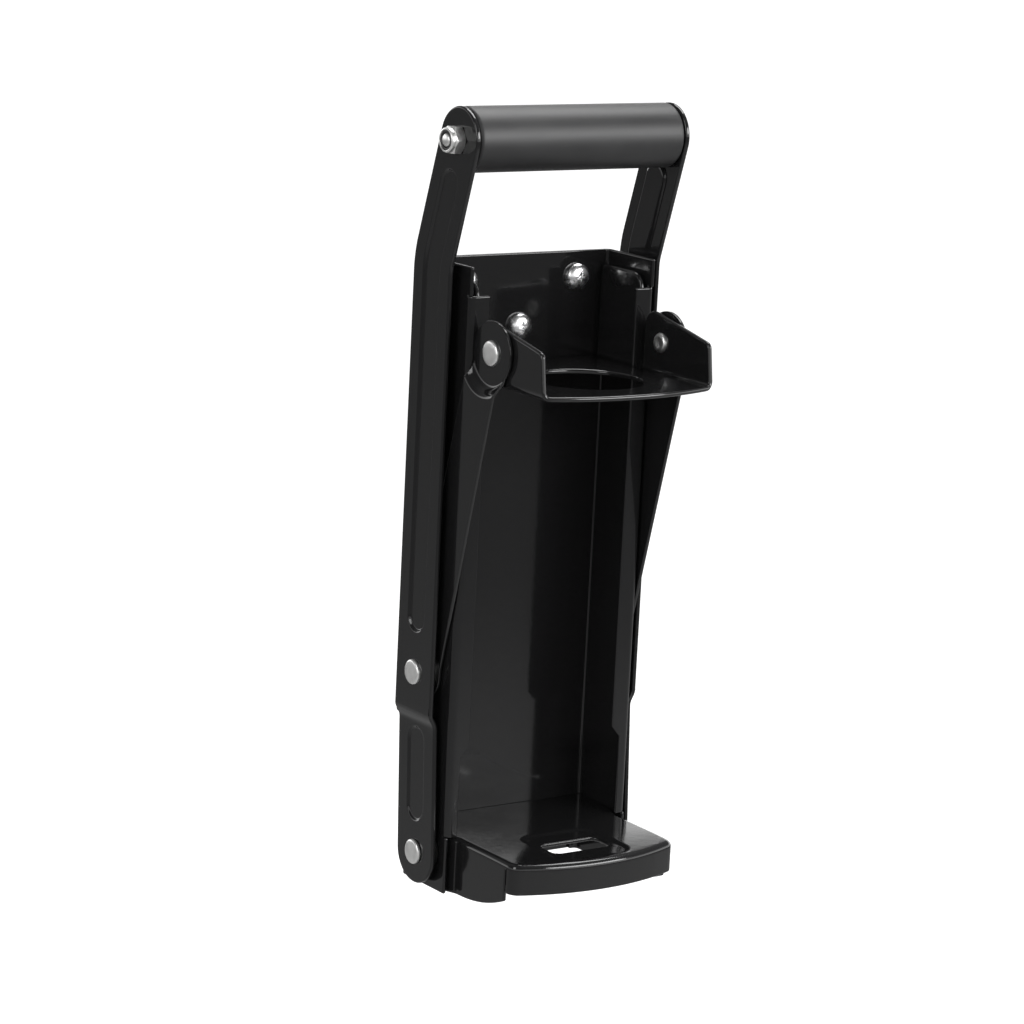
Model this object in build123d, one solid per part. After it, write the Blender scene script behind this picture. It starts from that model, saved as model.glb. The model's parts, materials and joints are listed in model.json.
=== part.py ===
from build123d import *
import math
import os

os.makedirs("parts", exist_ok=True)

# Lever can crusher for a wall. Millimetres, +Z up, front towards -Y.
# The wall is the plane Y = 0, X = 0 is the middle, and Z = 0 is the foot of the
# channel's side walls. Left and right are as seen from the front, with left at -X.

# ---------------------------------------------------------------- driving dimensions
# channel: one folded sheet with a back, two walls and two guide lips
channel_height = 249.5
channel_width = 87.0
channel_depth = 32.0
channel_sheet = 1.5
channel_bend = 3.0              # outside radius of every fold
lip_width = 9.0                 # from the wall's outer face to the lip's free edge
lip_width_low = 5.2             # below the step
lip_top_drop = 11.2             # from the top of the walls to the top of the lips
lip_step_z = 60.0               # where the lips grow narrow
lip_step_rise = 4.5
back_foot_z = 8.0               # lower edge of the back
wall_edge_setback = 0.6         # bare wall edges stay this far behind the lips' face

# tray: the base that the can stands on
tray_top_z = 22.9
tray_sheet = 1.5
tray_inset = 4.7                # its sides, in front, from the channel's outer faces
tray_reach = 79.6               # from the wall to the middle of the front edge
tray_side_reach = 71.5          # from the wall to the front corners
tray_bend = 2.4
tray_corner = 5.0
tray_flare_start = 25.0         # the skirts leave the walls here ...
tray_flare_end = 33.5           # ... and are in line from here
tray_side_foot_z = 7.2          # lowest point of the side skirts at the front
tray_front_foot_z = 10.2        # lower edge of the front skirt
tray_rise_start = 34.0          # where the side skirts' lower edge starts to rise
corner_slit = 0.9
corner_slit_drop = 3.0
dish_length = 35.0
dish_width = 33.0
dish_depth = 1.1
dish_y = -58.5
dish_corner = 7.0
drain_length = 27.0
drain_width = 17.5
drain_corner = 6.0
drain_y = -62.5

# screws that hold the channel on its wall
screw_inset = 16.8              # the upper pair, from the channel's outer faces
screw_upper_drop = 10.5         # below the top of the channel
screw_lower_drop = 29.3
screw_hole = 5.6
screw_shank = 4.8
screw_neck = 5.2                # its thicker part, through the sheet
screw_neck_end = 1.0            # behind the wall plane
screw_grip = 24.0               # length behind the wall plane
screw_point = 5.0
screw_head = 11.0
screw_head_height = 3.6
recess_width = 5.2
recess_bar = 1.1
recess_depth = 1.9

# lever arms: one long pressed strip on each side
arm_sheet = 2.0
arm_width = 25.6
arm_stand = 6.5                 # from the channel's outer face to the upper arm's
arm_joggle = 2.2                # the lower parts stand this much nearer
joggle_z = 69.0
joggle_rise = 5.0
arm_bend_round = 26.0
wall_gap = 0.3                  # between the arms' rear edge and the wall
bead_width = 12.4
bead_depth = 1.1
bead_slope = 30.0
bead_end = 12.0                 # from the beads' outer ends to the foot pin and the bolt
bead_above_mid = 15.7           # from the middle pin to the upper bead
low_bead_depth = 0.8
low_bead_top = 3.8              # below the joggle

# pins of the linkage and the handle, each a line along X
foot_pin_y = -16.0
foot_pin_z = 14.0
mid_pin_z = 87.0
ear_pin_y = -45.2
ear_pin_rise = 13.6             # above the plunger's underside
handle_y = -27.9
handle_rise = 48.5              # above the channel, where the arms bend forward
foot_pin = 7.0
mid_pin = 6.0
ear_pin = 6.0

# links from the arms up to the plunger's ears
link_sheet = 1.5
link_width = 20.5
link_ear_radius = 12.3
link_mid_radius = 11.0
link_neck_round = 14.0
link_ramp_start = 11.0          # the ramp's start and length, from the ear pin
link_ramp = 6.0

# plunger: one folded sheet with two ears in front and two guides behind the lips
plunger_drop = 44.5             # from the channel's top to its underside at rest
plunger_sheet = 2.0
guide_play = 2.0                # from the guides and ears to the channel's inner faces
plunger_bend = 3.5
plunger_reach = 85.0
plunger_side_reach = 77.5
plunger_hole = 44.8
plunger_hole_y = -49.3
guide_height = 38.8
guide_back_gap = 1.0
guide_round = 7.0
neck_round = 0.6
ear_back_gap = 1.7
ear_back_height = 26.6
ear_front_height = 18.2
ear_front_lean = 2.0
ear_back_round = 6.0
ear_front_round = 3.0

# rivets, spacers and clearances
play = 0.3                      # flat faces that slide past each other
pin_play = 0.05                 # on the radius of each pin in its hole
ear_play = 0.4                  # between link and ear
link_wall_gap = 0.4
rivet_head = 10.0
rivet_rise = 1.4
rivet_tail = 1.0
ear_tail = 7.8
ear_tail_rise = 1.5
flush_tail = 8.6
spacer_diameter = 15.0

# handle
grip_diameter = 25.4
grip_end_round = 1.5
tube_diameter = 19.0
tube_wall = 1.5
grip_fit = 0.1                  # between the sleeve's bore and the tube
bolt_diameter = 6.0
bolt_head_height = 4.0
nut_height = 6.0
nut_hex_height = 4.2
nut_collar = 9.6
hex_across = 10.0

# ---------------------------------------------------------------- places worked out
wall_outer = channel_width / 2
wall_inner = wall_outer - channel_sheet
lip_gap = channel_width - 2 * lip_width
lip_gap_low = channel_width - 2 * lip_width_low
tray_width = channel_width - 2 * tray_inset
screw_spread = wall_outer - screw_inset
plunger_width = 2 * (wall_inner - guide_play)
arms_across = channel_width + 2 * arm_stand
lip_top_z = channel_height - lip_top_drop
plunger_z = channel_height - plunger_drop
ear_pin_z = plunger_z + ear_pin_rise
arm_bend_z = channel_height
handle_z = channel_height + handle_rise
arm_y = -(arm_width / 2 + wall_gap)
upper_arm_outer = arms_across / 2
upper_arm_inner = upper_arm_outer - arm_sheet
lower_arm_outer = upper_arm_outer - arm_joggle
lower_arm_inner = lower_arm_outer - arm_sheet
link_inner = wall_outer + link_wall_gap
link_outer = link_inner + link_sheet
ear_outer = plunger_width / 2
ear_inner = ear_outer - plunger_sheet
pad_inner = ear_outer + ear_play
pad_outer = pad_inner + link_sheet
plunger_top_z = plunger_z + plunger_sheet
guide_front_y = -(channel_depth - channel_sheet - play)
ear_back_y = -(channel_depth + ear_back_gap)
foot = (foot_pin_y, foot_pin_z)
middle = (arm_y, mid_pin_z)
ear = (ear_pin_y, ear_pin_z)
handle = (handle_y, handle_z)
link_length = math.dist(middle, ear)
link_lean = math.degrees(math.atan2(middle[0] - ear[0], ear[1] - middle[1]))


# ---------------------------------------------------------------- shared forms
def u_section(width, depth, sheet, bend):
    """Section of a sheet folded to a U: its web lies on y = 0, its legs reach +y."""
    outside = Pos(0, depth) * RectangleRounded(width, 2 * depth, bend)
    inner_bend = max(bend - sheet, 0.2)
    inside = Pos(0, depth + sheet) * RectangleRounded(width - 2 * sheet, 2 * depth, inner_bend)
    return (outside - inside) & Pos(0, depth / 2) * Rectangle(2 * width, depth)


def strip_outline(points, width, bend):
    """Round-ended strip along a bent line, on the side plane (Y, Z)."""
    path = FilletPolyline(*points, radius=bend) if len(points) > 2 else Polyline(*points)
    return make_face(offset(path, width / 2, side=Side.BOTH))


def side_solid(outline, x_from, x_to):
    """A side-plane outline (Y, Z) made solid between two places along X."""
    return extrude(Plane.YZ.offset(x_from) * outline, x_to - x_from)


def x_axis_solid(y, z, *profile):
    """Turned piece on a line along X; the profile is a closed run of (x, radius)."""
    turned = revolve(make_face(Polyline(*profile, close=True)), Axis.X)
    return Pos(0, y, z) * turned


def x_hole(pin, radius, x_from, x_to):
    """Round cutter along X through a pin's place (Y, Z)."""
    centre = Pos((x_from + x_to) / 2, *pin) * Rot(0, 90, 0)
    return centre * Cylinder(radius, abs(x_to - x_from))


def dome(pin, x_seat, diameter, rise, direction):
    """Low round rivet head on a pin's line, standing on x_seat towards +X or -X."""
    radius, brow = diameter / 2, rise * 0.35
    ball = (radius**2 + (rise - brow) ** 2) / (2 * (rise - brow))
    ball_x = x_seat + direction * (rise - ball)
    half_turn = math.asin(radius / ball) / 2
    rim = (x_seat + direction * brow, radius)
    halfway = (ball_x + direction * ball * math.cos(half_turn), ball * math.sin(half_turn))
    crown = (x_seat + direction * rise, 0)
    outline = Polyline(crown, (x_seat, 0), (x_seat, radius), rim)
    outline += ThreePointArc(rim, halfway, crown)
    return Pos(0, *pin) * revolve(make_face(outline), Axis.X)


def mirrored(solid):
    return mirror(solid, about=Plane.YZ)


def pressed_bead(outline, x_face, sheet, depth):
    """The hollow and the matching rib of a bead pressed inwards from x_face."""
    slope_run = bead_slope
    hollow = extrude(Plane.YZ.offset(x_face) * outline, -depth, taper=slope_run)
    rib = extrude(Plane.YZ.offset(x_face - sheet) * outline, -depth, taper=slope_run)
    return hollow, rib


# ---------------------------------------------------------------- channel and tray
def channel():
    section = u_section(channel_width, channel_depth, channel_sheet, channel_bend)
    lips = Pos(0, channel_depth) * mirror(section, about=Plane.XZ)
    window = Pos(0, channel_depth) * Rectangle(lip_gap, 3 * channel_sheet)
    half = Pos(0, channel_depth / 2 - channel_bend) * Rectangle(2 * channel_width, channel_depth)
    bare = section & Pos(0, -wall_edge_setback) * (
        Pos(0, channel_depth / 2) * Rectangle(2 * channel_width, channel_depth)
    )
    closed = (section & half) + (lips - window - half)

    def floor_plan(sketch):
        return Rot(0, 0, 180) * sketch

    body = extrude(floor_plan(bare), tray_top_z)
    body += Pos(0, 0, tray_top_z) * extrude(floor_plan(closed), lip_top_z - tray_top_z)
    body += Pos(0, 0, lip_top_z) * extrude(floor_plan(bare), lip_top_drop)

    low, high = lip_gap_low / 2, lip_gap / 2
    step = Polyline(
        (-low, tray_top_z), (-low, lip_step_z - lip_step_rise), (-high, lip_step_z),
        (high, lip_step_z), (low, lip_step_z - lip_step_rise), (low, tray_top_z), close=True,
    )
    front = Plane.XZ.offset(channel_depth - 1.5 * channel_sheet)
    body -= extrude(front * make_face(step), 2 * channel_sheet)
    back_cut = Pos(0, 0, back_foot_z / 2) * Box(
        2 * wall_inner - channel_bend, 3 * channel_bend, back_foot_z
    )
    body -= back_cut
    for x, z in screw_places():
        body -= Pos(x, 0, z) * Rot(90, 0, 0) * Cylinder(screw_hole / 2, 4 * channel_sheet)
    body -= x_hole(foot, foot_pin / 2 + pin_play, -channel_width, channel_width)
    return body


def tray_plan():
    """Outline of the tray from above, with its corners and flares still sharp."""
    inside, outside = wall_inner, tray_width / 2
    right = [
        (inside, -channel_sheet), (inside, -tray_flare_start),
        (outside, -tray_flare_end), (outside, -tray_side_reach),
    ]
    left = [(-x, y) for x, y in reversed(right)]
    edges = Polyline(*right) + Polyline(*left) + Line(left[-1], right[0])
    edges += ThreePointArc(right[-1], (0, -tray_reach), left[0])
    return make_face(edges)


def tray():
    plan = tray_plan()
    rear = plan.vertices().filter_by(lambda v: v.Y > -2 * channel_sheet)
    flares = plan.vertices().filter_by(lambda v: -tray_side_reach + 1 < v.Y < -2 * channel_sheet)
    corners = plan.vertices().filter_by(lambda v: v.Y < -tray_side_reach + 1)
    plan = fillet(rear, channel_bend)
    plan = fillet(plan.vertices().filter_by(
        lambda v: any((v.center() - f.center()).length < 0.01 for f in flares)), tray_corner)
    plan = fillet(plan.vertices().filter_by(
        lambda v: any((v.center() - c.center()).length < 0.01 for c in corners)), tray_corner)
    shell = extrude(plan, tray_top_z)
    top_edges = shell.faces().sort_by(Axis.Z)[-1].edges()
    shell = fillet(top_edges.filter_by(lambda e: e.center().Y < -2 * channel_sheet), tray_bend)
    room = extrude(offset(plan, -tray_sheet), tray_top_z - tray_sheet)
    room = fillet(room.faces().sort_by(Axis.Z)[-1].edges(), max(tray_bend - tray_sheet, 0.2))
    rear_way = Pos(0, -channel_sheet, (tray_top_z - tray_sheet) / 2) * Box(
        2 * (wall_inner - tray_sheet - channel_bend), 4 * tray_sheet, tray_top_z - tray_sheet
    )
    shell -= room + rear_way

    beyond = -2 * tray_reach
    rise = ThreePointArc(
        (-tray_rise_start, 0),
        (-(tray_rise_start + tray_side_reach) / 2, tray_side_foot_z * 0.28),
        (-tray_side_reach + tray_corner - corner_slit, tray_side_foot_z),
    )
    rise_end = rise @ 1
    below = rise + Polyline(
        rise_end, (rise_end.X, tray_front_foot_z), (beyond, tray_front_foot_z),
        (beyond, -tray_top_z), (-tray_rise_start, -tray_top_z), (-tray_rise_start, 0),
    )
    shell -= side_solid(make_face(below), -channel_width, channel_width)

    slit_z = tray_top_z - corner_slit_drop
    slit = Pos(0, rise_end.X + corner_slit / 2, slit_z / 2) * Box(
        2 * channel_width, corner_slit, slit_z
    )
    relief = x_hole((rise_end.X + corner_slit / 2, slit_z), corner_slit, -wall_outer, wall_outer)
    shell -= slit + relief

    dish = RectangleRounded(dish_length, dish_width, dish_corner)
    pressing = Pos(0, dish_y, tray_top_z - tray_sheet) * extrude(dish, -dish_depth, taper=bead_slope)
    hollow = Pos(0, dish_y, tray_top_z) * extrude(dish, -dish_depth, taper=bead_slope)
    drain = RectangleRounded(drain_length, drain_width, drain_corner)
    shell += pressing
    shell -= hollow
    shell -= Pos(0, drain_y, tray_top_z - 4 * tray_sheet) * extrude(drain, 8 * tray_sheet)
    shell -= x_hole(foot, foot_pin / 2 + pin_play, -channel_width, channel_width)
    return shell


# ---------------------------------------------------------------- screws
def screw_places():
    upper = channel_height - screw_upper_drop
    return [
        (-screw_spread, upper), (screw_spread, upper),
        (0, channel_height - screw_lower_drop),
    ]


def mounting_screws():
    seat = channel_sheet
    head = dome((0, 0), seat, screw_head, screw_head_height, 1)
    shank = revolve(make_face(Polyline(
        (seat, 0), (seat, screw_neck / 2), (-screw_neck_end, screw_neck / 2),
        (-screw_neck_end, screw_shank / 2), (screw_point - screw_grip, screw_shank / 2),
        (-screw_grip, 0), close=True,
    )), Axis.X)
    bar = Box(recess_depth * 2, recess_width, recess_bar)
    cross = Pos(seat + screw_head_height, 0, 0) * (bar + Rot(90, 0, 0) * bar)
    screw = Rot(0, 0, -90) * (head + shank - cross)
    return Compound(children=[Pos(x, 0, z) * screw for x, z in screw_places()])


# ---------------------------------------------------------------- lever arms
def arm_line():
    return [foot, (arm_y, joggle_z), (arm_y, arm_bend_z), handle]


def towards(start, end, distance):
    """The point on the way from start to end, at a distance from start."""
    share = distance / math.dist(start, end)
    return tuple(a + (b - a) * share for a, b in zip(start, end))


def lever_arm():
    """The right arm."""
    blank = side_solid(strip_outline(arm_line(), arm_width, arm_bend_round), 0, arms_across)
    far = handle_z + arm_width
    low_z, high_z = joggle_z - joggle_rise / 2, joggle_z + joggle_rise / 2
    band = Polyline(
        (lower_arm_inner, -arm_width), (lower_arm_inner, low_z), (upper_arm_inner, high_z),
        (upper_arm_inner, far), (upper_arm_outer, far), (upper_arm_outer, high_z),
        (lower_arm_outer, low_z), (lower_arm_outer, -arm_width), close=True,
    )
    band_face = make_face(band)
    knees = band_face.vertices().filter_by(lambda v: 0 < v.Y < far - 1)
    band_face = fillet(knees, arm_sheet)
    folded = extrude(Plane.XZ * band_face, arm_width * 4, both=True)
    arm = blank & folded

    bend = (arm_y, arm_bend_z)
    upper = [
        (arm_y, mid_pin_z + bead_above_mid + bead_width / 2), bend,
        towards(handle, bend, bead_end + bead_width / 2),
    ]
    hollow, rib = pressed_bead(
        strip_outline(upper, bead_width, arm_bend_round), upper_arm_outer, arm_sheet, bead_depth
    )
    knee = (arm_y, joggle_z)
    lower = [
        towards(foot, knee, bead_end + bead_width / 2),
        towards(knee, foot, low_bead_top + bead_width / 2),
    ]
    groove, _ = pressed_bead(
        strip_outline(lower, bead_width, arm_bend_round),
        lower_arm_outer, arm_sheet, low_bead_depth,
    )
    arm = arm + rib - hollow - groove
    for pin, diameter in ((foot, foot_pin), (middle, mid_pin), (handle, bolt_diameter)):
        arm -= x_hole(pin, diameter / 2 + pin_play, 0, arms_across)
    return arm


# ---------------------------------------------------------------- links
def link():
    """The right link, drawn upright from its middle pin and then leaned into place."""
    outline = Circle(link_mid_radius) + Pos(0, link_length) * Circle(link_ear_radius)
    outline += Pos(0, link_length / 2) * Rectangle(link_width, link_length)
    necks = outline.vertices().filter_by(lambda v: abs(abs(v.X) - link_width / 2) < 0.01)
    outline = fillet(necks, link_neck_round)
    blank = side_solid(outline, 0, arms_across)
    ramp_top = link_length - link_ramp_start
    ramp_foot = ramp_top - link_ramp
    far = link_length + 2 * link_ear_radius
    near = -2 * link_mid_radius
    band_face = make_face(Polyline(
        (link_inner, near), (link_inner, ramp_foot), (pad_inner, ramp_top), (pad_inner, far),
        (pad_outer, far), (pad_outer, ramp_top), (link_outer, ramp_foot), (link_outer, near),
        close=True,
    ))
    knees = band_face.vertices().filter_by(lambda v: 0 < v.Y < link_length)
    band_face = fillet(knees, link_sheet)
    piece = blank & extrude(Plane.XZ * band_face, 4 * link_width, both=True)
    piece -= x_hole((0, 0), mid_pin / 2 + pin_play, 0, arms_across)
    piece -= x_hole((0, link_length), ear_pin / 2 + pin_play, 0, arms_across)
    tail = flush_tail / 2 + pin_play
    depth = flush_tail / 2 - mid_pin / 2
    piece -= x_axis_solid(
        0, 0, (link_inner, 0), (link_inner, tail), (link_inner + depth, tail - depth),
        (link_inner + depth, 0),
    )
    return Pos(0, *middle) * Rot(link_lean, 0, 0) * piece


# ---------------------------------------------------------------- plunger
def plunger():
    tall = 2 * guide_height
    section = u_section(plunger_width, tall, plunger_sheet, plunger_bend)
    fold = Pos(0, 0, plunger_z) * extrude(Plane.XZ * section, 2 * plunger_reach)

    back_y = -(channel_sheet + guide_back_gap)
    ear_front = -plunger_side_reach
    side = make_face(Polyline(
        (back_y, plunger_z), (back_y, plunger_z + guide_height),
        (guide_front_y, plunger_z + guide_height), (guide_front_y, plunger_top_z + plunger_bend),
        (ear_back_y, plunger_top_z + plunger_bend), (ear_back_y, plunger_z + ear_back_height),
        (ear_front + ear_front_lean, plunger_z + ear_front_height),
        (ear_front, plunger_top_z + plunger_bend), (ear_front, plunger_top_z),
        (-2 * plunger_reach, plunger_top_z), (-2 * plunger_reach, plunger_z), close=True,
    ))

    def corner(y, z):
        return side.vertices().sort_by(lambda v: math.dist((v.X, v.Y), (y, z)))[0]

    for y, z, radius in (
        (guide_front_y, plunger_z + guide_height, guide_round),
        (back_y, plunger_z + guide_height, ear_front_round),
        (ear_back_y, plunger_z + ear_back_height, ear_back_round),
        (ear_front + ear_front_lean, plunger_z + ear_front_height, ear_front_round),
    ):
        side = fillet(corner(y, z), radius)

    half = plunger_width / 2
    plan = make_face(
        Polyline((half, -plunger_side_reach), (half, 0), (-half, 0), (-half, -plunger_side_reach))
        + ThreePointArc(
            (-half, -plunger_side_reach), (0, -plunger_reach), (half, -plunger_side_reach)
        )
    )
    plan -= Pos(0, plunger_hole_y) * Circle(plunger_hole / 2)
    neck = lip_gap / 2 - play
    for sign in (-1, 1):
        notch_middle = (guide_front_y + ear_back_y) / 2
        plan -= Pos(sign * (neck + half / 2), notch_middle) * RectangleRounded(
            half, guide_front_y - ear_back_y, neck_round
        )
    piece = fold & side_solid(side, -plunger_width, plunger_width)
    piece &= extrude(plan, 2 * channel_height)
    return piece - x_hole(ear, ear_pin / 2 + pin_play, -plunger_width, plunger_width)


# ---------------------------------------------------------------- pins and spacers
def pin_body(pin, x_from, x_to, diameter):
    radius = diameter / 2
    return x_axis_solid(*pin, (x_from, 0), (x_from, radius), (x_to, radius), (x_to, 0))


def foot_rivet():
    head_x = lower_arm_outer + play
    tail_x = wall_inner - tray_sheet
    shank = pin_body(foot, tail_x, head_x, foot_pin)
    head = dome(foot, head_x, rivet_head, rivet_rise, 1)
    tail = dome(foot, tail_x, rivet_head, rivet_tail, -1)
    return shank + head + tail


def mid_rivet():
    """Domed outside; inside it is flush with the link, which runs beside the wall."""
    depth = (flush_tail - mid_pin) / 2
    shank = x_axis_solid(
        *middle, (link_inner, 0), (link_inner, flush_tail / 2),
        (link_inner + depth, mid_pin / 2), (upper_arm_outer, mid_pin / 2), (upper_arm_outer, 0),
    )
    return shank + dome(middle, upper_arm_outer, rivet_head, rivet_rise, 1)


def ear_rivet():
    """The outer half of the ear's rivet, which turns with the link."""
    shank = pin_body(ear, pad_inner, pad_outer, ear_pin)
    return shank + dome(ear, pad_outer, rivet_head, rivet_rise, 1)


def ear_rivet_tail():
    """The inner half of the ear's rivet, which stays in the ear."""
    shank = pin_body(ear, ear_inner, ear_outer, ear_pin)
    return shank + dome(ear, ear_inner, ear_tail, ear_tail_rise, -1)


def spacer(pin, bore, x_from, x_to):
    inner, outer = bore / 2 + pin_play, spacer_diameter / 2
    return x_axis_solid(*pin, (x_from, inner), (x_from, outer), (x_to, outer), (x_to, inner))


# ---------------------------------------------------------------- handle
def handle_tube():
    outer = tube_diameter / 2
    inner = outer - tube_wall
    return x_axis_solid(
        *handle, (-upper_arm_inner, inner), (-upper_arm_inner, outer),
        (upper_arm_inner, outer), (upper_arm_inner, inner),
    )


def grip_sleeve():
    half = upper_arm_inner - play
    bore = tube_diameter / 2 + grip_fit
    sleeve = x_axis_solid(
        *handle, (-half, bore), (-half, grip_diameter / 2), (half, grip_diameter / 2), (half, bore)
    )
    rims = sleeve.edges().filter_by(GeomType.CIRCLE).filter_by(
        lambda e: abs(e.radius - grip_diameter / 2) < 0.01
    )
    return fillet(rims, grip_end_round)


def hexagon(x_from, x_to):
    """Hexagon along X on the handle's line, its outer end turned to a short cone."""
    radius = hex_across / 2 / math.cos(math.pi / 6)
    length = x_to - x_from
    prism = extrude(Plane.YZ.offset(x_from) * RegularPolygon(radius, 6), length)
    cone_x = x_to - math.copysign(0.5 * (radius - hex_across / 2), length)
    turned = x_axis_solid(
        0, 0, (x_from, 0), (x_from, radius), (cone_x, radius), (x_to, hex_across / 2), (x_to, 0)
    )
    return Pos(0, *handle) * (prism & turned)


def handle_bolt():
    tip = -(upper_arm_outer + nut_height)
    shank = pin_body(handle, tip, upper_arm_outer, bolt_diameter)
    return shank + hexagon(upper_arm_outer, upper_arm_outer + bolt_head_height)


def handle_nut():
    seat = -upper_arm_outer
    shoulder = seat - nut_hex_height
    end = seat - nut_height
    collar = x_axis_solid(
        *handle, (shoulder + 0.5, 0), (shoulder + 0.5, nut_collar / 2),
        (end + 0.5, nut_collar / 2), (end, nut_collar / 2 - 0.5), (end, 0),
    )
    nut = hexagon(seat, shoulder) + collar
    return nut - x_hole(handle, bolt_diameter / 2 + pin_play, seat + 1, end - 1)


# ---------------------------------------------------------------- every piece, by name
right_pieces = {
    "lever_arm": lever_arm(),
    "link": link(),
    "foot_rivet": foot_rivet(),
    "foot_spacer": spacer(foot, foot_pin, wall_outer, lower_arm_inner - play),
    "mid_rivet": mid_rivet(),
    "mid_spacer": spacer(middle, mid_pin, link_outer + play, upper_arm_inner),
    "ear_rivet": ear_rivet(),
    "ear_rivet_tail": ear_rivet_tail(),
}
pieces = {
    "channel_body": channel(),
    "base_tray": tray(),
    "mounting_screws": mounting_screws(),
    "plunger": plunger(),
    "handle_tube": handle_tube(),
    "grip_sleeve": grip_sleeve(),
    "handle_bolt": handle_bolt(),
    "handle_nut": handle_nut(),
}
for name, solid in right_pieces.items():
    pieces[name + "_right"] = solid
    pieces[name + "_left"] = mirrored(solid)

for name, solid in pieces.items():
    export_step(solid, f"parts/{name}.step")


# ---------------------------------------------------------------- the stroke, for the record
lever_travel = 155              # degrees from rest to the end of the stroke


def middle_pin_at(turn):
    """Place of the middle pin (Y, Z) with the lever turned down by some degrees."""
    reach = math.dist(foot, middle)
    rest_angle = math.atan2(middle[0] - foot[0], middle[1] - foot[1])
    angle = rest_angle - math.radians(turn)
    return foot[0] + reach * math.sin(angle), foot[1] + reach * math.cos(angle)


def stroke_at(turn):
    """Drop of the plunger and lean of the links with the lever turned down."""
    y, z = middle_pin_at(turn)
    lean = math.asin((y - ear_pin_y) / link_length)
    return ear_pin_z - (z + link_length * math.cos(lean)), math.degrees(lean)


end_drop, end_lean = stroke_at(lever_travel)
print(f"links {link_length:.3f} mm long, leaning {link_lean:.3f} degrees at rest")
print(f"plunger drops {end_drop:.3f} mm over {lever_travel} degrees, links then lean {end_lean:.3f}")
print(f"left for the can {plunger_z - tray_top_z:.1f} mm, at the end {plunger_z - end_drop - tray_top_z:.1f}")
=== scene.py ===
import json
import math

import bmesh
import bpy
from mathutils import Matrix, Vector

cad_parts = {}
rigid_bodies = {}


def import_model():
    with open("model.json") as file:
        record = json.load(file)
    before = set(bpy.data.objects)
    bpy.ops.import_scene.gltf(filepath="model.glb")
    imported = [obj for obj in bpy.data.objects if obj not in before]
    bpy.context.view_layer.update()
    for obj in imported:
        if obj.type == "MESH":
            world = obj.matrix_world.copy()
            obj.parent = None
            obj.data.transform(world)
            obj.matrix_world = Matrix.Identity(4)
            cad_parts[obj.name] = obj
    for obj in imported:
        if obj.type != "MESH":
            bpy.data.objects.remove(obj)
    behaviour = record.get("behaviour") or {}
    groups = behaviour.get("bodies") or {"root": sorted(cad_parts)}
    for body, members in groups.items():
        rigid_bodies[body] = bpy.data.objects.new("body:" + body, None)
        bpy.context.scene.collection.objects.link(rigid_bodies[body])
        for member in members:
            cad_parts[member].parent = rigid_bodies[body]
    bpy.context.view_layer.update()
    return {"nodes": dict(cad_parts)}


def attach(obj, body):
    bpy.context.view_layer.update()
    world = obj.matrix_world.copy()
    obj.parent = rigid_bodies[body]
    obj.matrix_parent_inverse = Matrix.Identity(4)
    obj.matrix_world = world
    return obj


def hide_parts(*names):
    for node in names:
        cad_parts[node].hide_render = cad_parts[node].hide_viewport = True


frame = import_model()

# Lever can crusher: the sheet parts, rivets, screws, nut and grip are modelled here in
# metres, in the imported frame. Right is +X, the front is -Y, and the wall is at Y = 0.
MM = 0.001
PICTURE = 1024

# ------------------------------------------------------------------ sizes, millimetres
# A pair of sizes is a place in the side view, (Y, Z), unless it says otherwise.
CHANNEL_HALF = 43.5
CHANNEL_DEPTH = 32.0
CHANNEL_TOP = 249.5
CHANNEL_SHEET = 1.5
CHANNEL_FOLD = 3.0
LIP_EDGE = 34.5
LIP_EDGE_LOW = 38.3
LIP_TOP = 238.3
LIP_STEP = (55.5, 60.0)
BARE_EDGE = 31.4
CHANNEL_EDGE = 0.68
SCREW_PLACES = [(-26.7, 239.0), (26.7, 239.0), (0.0, 220.2)]  # (X, Z)
SCREW_BORE = 2.8

TRAY_TOP = 22.9
TRAY_SHEET = 1.5
TRAY_BEND = 2.4
TRAY_EDGE = 0.6
TRAY_CROWN_START = -52
TRAY_CROWN = 0.0008  # fall per square millimetre in front of the crown's start

PLATE_UNDER = 205.0
PLATE_SHEET = 2.0
PLATE_HALF = 40.0
PLATE_BEND = 3.5
PLATE_NECK = 34.2
PLATE_FRONT = 85.0
PLATE_BOW = 7.5
PLATE_EDGE = 0.95
PLATE_HOLE = (-49.3, 22.4)  # (Y, radius)

FOOT_PIN = (-16.0, 14.0)
ARM_LINE_Y = -13.1
MID_PIN = (ARM_LINE_Y, 87.0)
EAR_PIN = (-45.2, 218.6)
HANDLE = (-27.9, 298.0)
FOOT_BORE = 3.55
PIN_BORE = 3.05
LINK_EYE_BORE = 4.35

ARM_HALF = 12.8
ARM_SHEET = 2.0
ARM_EDGE = 0.8
ARM_BEND_Z = 249.5
ARM_BEND_ROUND = 26.0
ARM_OUTER = 50.0
ARM_JOGGLE = 2.2
JOGGLE_Z = 69.0
JOGGLE_RISE = 5.0
ARM_TURN = math.atan2(ARM_LINE_Y - HANDLE[0], HANDLE[1] - ARM_BEND_Z)
BEAD_WIDTH = 12.4
BEAD_END = 12.0
BEAD_ABOVE_MID = 15.7
LOW_BEAD_TOP = 3.8
HIGH_BEAD_DEPTH = 1.1
LOW_BEAD_DEPTH = 0.8
HEX_RADIUS = 5.7735  # to the corners, for 10 across flats
HEX_TURNED = 5.9
PAD_INNER = 40.4
LINK_INNER = 43.9
LINK_SHEET = 1.5
LINK_EDGE = 0.55
LINK_LENGTH = math.dist(MID_PIN, EAR_PIN)
LINK_LEAN = math.atan2(MID_PIN[0] - EAR_PIN[0], EAR_PIN[1] - MID_PIN[1])


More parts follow.
